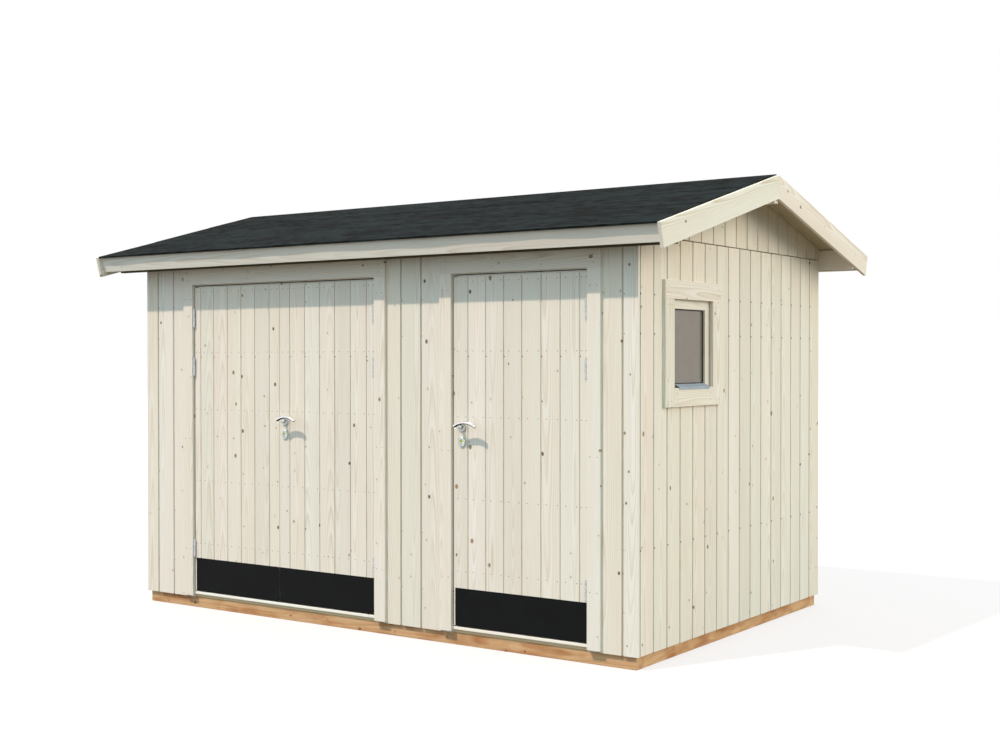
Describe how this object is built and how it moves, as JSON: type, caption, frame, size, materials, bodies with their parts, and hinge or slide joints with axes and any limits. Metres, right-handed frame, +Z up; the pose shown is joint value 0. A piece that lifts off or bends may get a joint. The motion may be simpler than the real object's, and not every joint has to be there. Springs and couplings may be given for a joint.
{
  "type": "wooden garden shed",
  "caption": "Board-clad timber garden shed with a double door and a single door in front, a small side window and a low felted gable roof; doors and lever handles move.",
  "frame": {"origin": "on the ground, in the middle of the roof's plan", "axes": "+X along the front to the right as seen from outside, -Y out of the front with the doors, +Z up"},
  "size_m": [3.854, 2.588, 2.432],
  "materials": {
    "spruce": "planed, untreated",
    "impregnated_timber": "sawn, brown impregnation",
    "bitumen_felt": "mineral, matt",
    "black_sheet_metal": "matt black",
    "zinc_plated_steel": "bright zinc",
    "chrome_plated_metal": "satin chrome",
    "window_glass": "clear",
    "grey_sheet_metal": "coated, blue grey"
  },
  "bodies": {
    "shed": {"base_beams": "impregnated_timber", "floor_boards": "spruce", "front_wall_left": "spruce", "front_wall_middle": "spruce", "front_wall_right": "spruce", "front_wall_over_doors": "spruce", "right_wall_front": "spruce", "right_wall_back": "spruce", "right_wall_by_window": "spruce", "left_wall": "spruce", "back_wall": "spruce", "gables": "spruce", "wall_studs": "spruce", "door_jambs": "spruce", "wall_rails": "spruce", "door_casings": "spruce", "door_headers": "spruce", "door_thresholds": "spruce", "window_trim_rails": "spruce", "window_trim_sides": "spruce", "window_sash": "spruce", "window_glass": "window_glass", "window_sill": "grey_sheet_metal", "ridge_beam": "spruce", "eave_plates": "spruce", "roof_boards_front": "spruce", "roof_boards_back": "spruce", "roof_felt_front": "bitumen_felt", "roof_felt_back": "bitumen_felt", "fascia_boards": "spruce", "barge_boards_front": "spruce", "barge_boards_back": "spruce", "frame_hinges": "zinc_plated_steel"},
    "left_leaf": {"left_leaf_boards": "spruce", "left_leaf_ledges": "spruce", "left_leaf_kick_plate": "black_sheet_metal", "left_leaf_hinges": "zinc_plated_steel"},
    "right_leaf": {"right_leaf_boards": "spruce", "right_leaf_ledges": "spruce", "right_leaf_kick_plate": "black_sheet_metal", "right_leaf_hinges": "zinc_plated_steel", "right_leaf_lock_plates": "chrome_plated_metal"},
    "right_lever": {"right_leaf_lever": "chrome_plated_metal"},
    "single_leaf": {"single_leaf_boards": "spruce", "single_leaf_ledges": "spruce", "single_leaf_kick_plate": "black_sheet_metal", "single_leaf_hinges": "zinc_plated_steel", "single_leaf_lock_plates": "chrome_plated_metal"},
    "single_lever": {"single_leaf_lever": "chrome_plated_metal"}
  },
  "joints": [
    {"name": "left_leaf_swing", "type": "hinge", "parent": "shed", "child": "left_leaf", "pos_m": [-1.2825, -1.101, 1], "axis": [0, 0, -1], "range_deg": [0, 110]},
    {"name": "right_leaf_swing", "type": "hinge", "parent": "shed", "child": "right_leaf", "pos_m": [0.0945, -1.101, 1], "axis": [0, 0, 1], "range_deg": [0, 110]},
    {"name": "single_leaf_swing", "type": "hinge", "parent": "shed", "child": "single_leaf", "pos_m": [1.4205, -1.101, 1], "axis": [0, 0, 1], "range_deg": [0, 110]},
    {"name": "right_lever_turn", "type": "hinge", "parent": "right_leaf", "child": "right_lever", "pos_m": [-0.55766, -1.123, 1.121], "axis": [0, 1, 0], "range_deg": [0, 40], "stiffness_Nm_per_rad": 1, "springref_deg": -34.38},
    {"name": "single_lever_turn", "type": "hinge", "parent": "single_leaf", "child": "single_lever", "pos_m": [0.676, -1.123, 1.121], "axis": [0, 1, 0], "range_deg": [0, 40], "stiffness_Nm_per_rad": 1, "springref_deg": -34.38}
  ]
}
